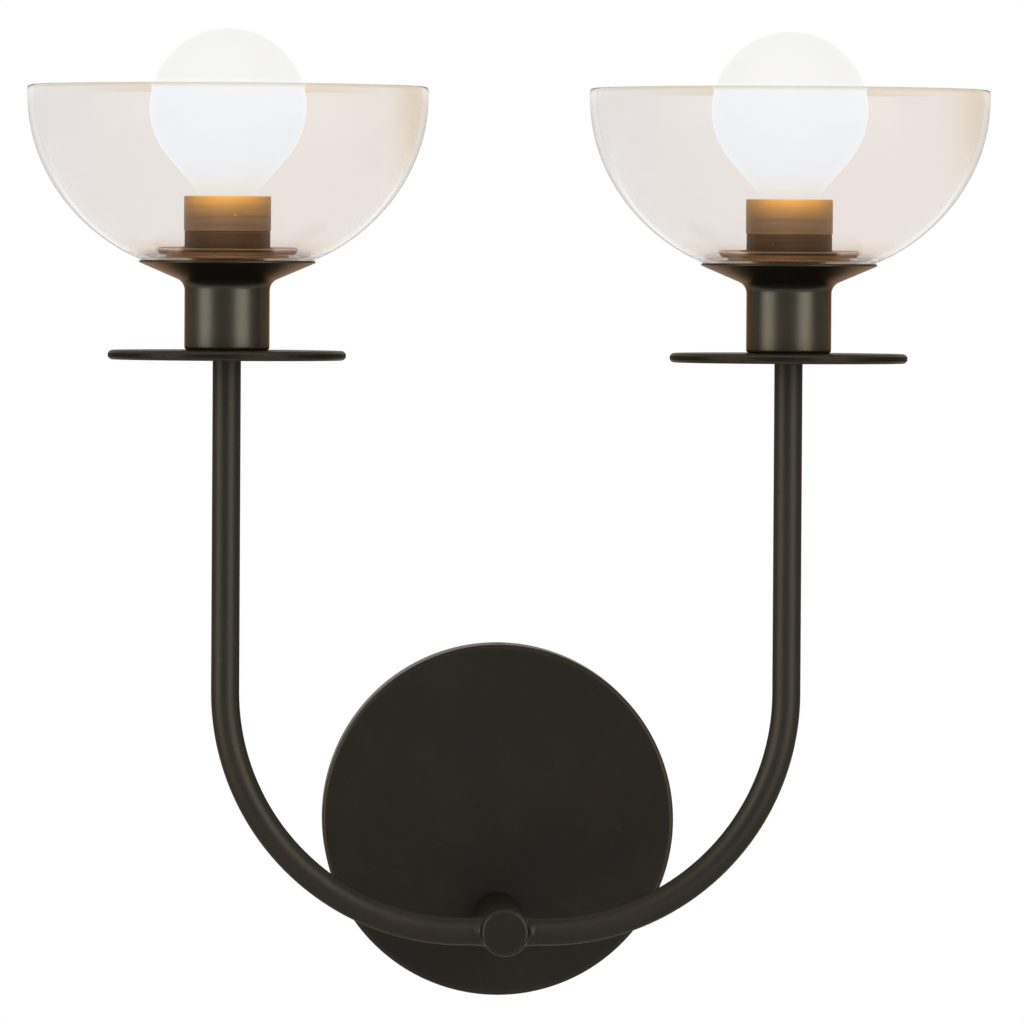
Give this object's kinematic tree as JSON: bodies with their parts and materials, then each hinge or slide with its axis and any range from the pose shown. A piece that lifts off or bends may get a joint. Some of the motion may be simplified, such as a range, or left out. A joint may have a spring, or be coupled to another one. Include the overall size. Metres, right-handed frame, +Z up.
{
  "type": "double arm wall sconce",
  "caption": "Wall sconce with two upturned arms on one stub, each with a drip disc, a saucer cup, an open glass bowl and a globe bulb.",
  "frame": {"origin": "centre of the canopy's open side, on the wall plane", "axes": "+Z up, +Y into the wall, +X to the viewer's right"},
  "size_m": [0.3222, 0.1711, 0.3295],
  "materials": {
    "dark_bronze": "satin, dark oil-rubbed bronze with faint brown mottling",
    "zinc_steel": "zinc plated",
    "green_screw": "green dyed plating",
    "brass": "raw machined",
    "lead_insulation": "smooth insulation",
    "silicone": "translucent soft ring",
    "tinted_glass": "clear pale champagne tint, fire-polished rim",
    "black_plastic": "moulded phenolic",
    "nickel": "bright nickel plate",
    "solder": "dull solder",
    "opal_glass": "opal white, lit",
    "clear_glass": "clear",
    "filament": "coated filament rods"
  },
  "bodies": {
    "fixture": {"canopy": "dark_bronze", "hub": "dark_bronze", "canopy_set_screws": "dark_bronze", "wall_bracket": "zinc_steel", "hub_lock_washer": "zinc_steel", "hub_lock_nut": "brass", "ground_screw": "green_screw", "left_arm_tube": "dark_bronze", "left_leads": "lead_insulation", "left_nipple": "brass", "left_drip_disc": "dark_bronze", "left_cup": "dark_bronze", "left_cup_lock_washer": "zinc_steel", "left_cup_lock_nut": "brass", "left_glass_gasket": "silicone", "left_glass_bowl": "tinted_glass", "left_foot_washer": "silicone", "left_glass_retainer": "dark_bronze", "left_socket_cover": "dark_bronze", "left_socket_body": "black_plastic", "left_socket_shell": "nickel", "left_socket_contact": "brass", "right_arm_tube": "dark_bronze", "right_leads": "lead_insulation", "right_nipple": "brass", "right_drip_disc": "dark_bronze", "right_cup": "dark_bronze", "right_cup_lock_washer": "zinc_steel", "right_cup_lock_nut": "brass", "right_glass_gasket": "silicone", "right_glass_bowl": "tinted_glass", "right_foot_washer": "silicone", "right_glass_retainer": "dark_bronze", "right_socket_cover": "dark_bronze", "right_socket_body": "black_plastic", "right_socket_shell": "nickel", "right_socket_contact": "brass"},
    "left_bulb": {"left_bulb_glass": "opal_glass", "left_bulb_base": "nickel", "left_bulb_insulator": "black_plastic", "left_bulb_tip": "solder", "left_bulb_stem": "clear_glass", "left_bulb_filaments": "filament"},
    "right_bulb": {"right_bulb_glass": "opal_glass", "right_bulb_base": "nickel", "right_bulb_insulator": "black_plastic", "right_bulb_tip": "solder", "right_bulb_stem": "clear_glass", "right_bulb_filaments": "filament"}
  },
  "joints": [
    {"name": "left_bulb_lift", "type": "slide", "parent": "fixture", "child": "left_bulb", "axis": [0, 0, 1], "range_m": [0, 0.066]},
    {"name": "right_bulb_lift", "type": "slide", "parent": "fixture", "child": "right_bulb", "axis": [0, 0, 1], "range_m": [0, 0.066]}
  ]
}
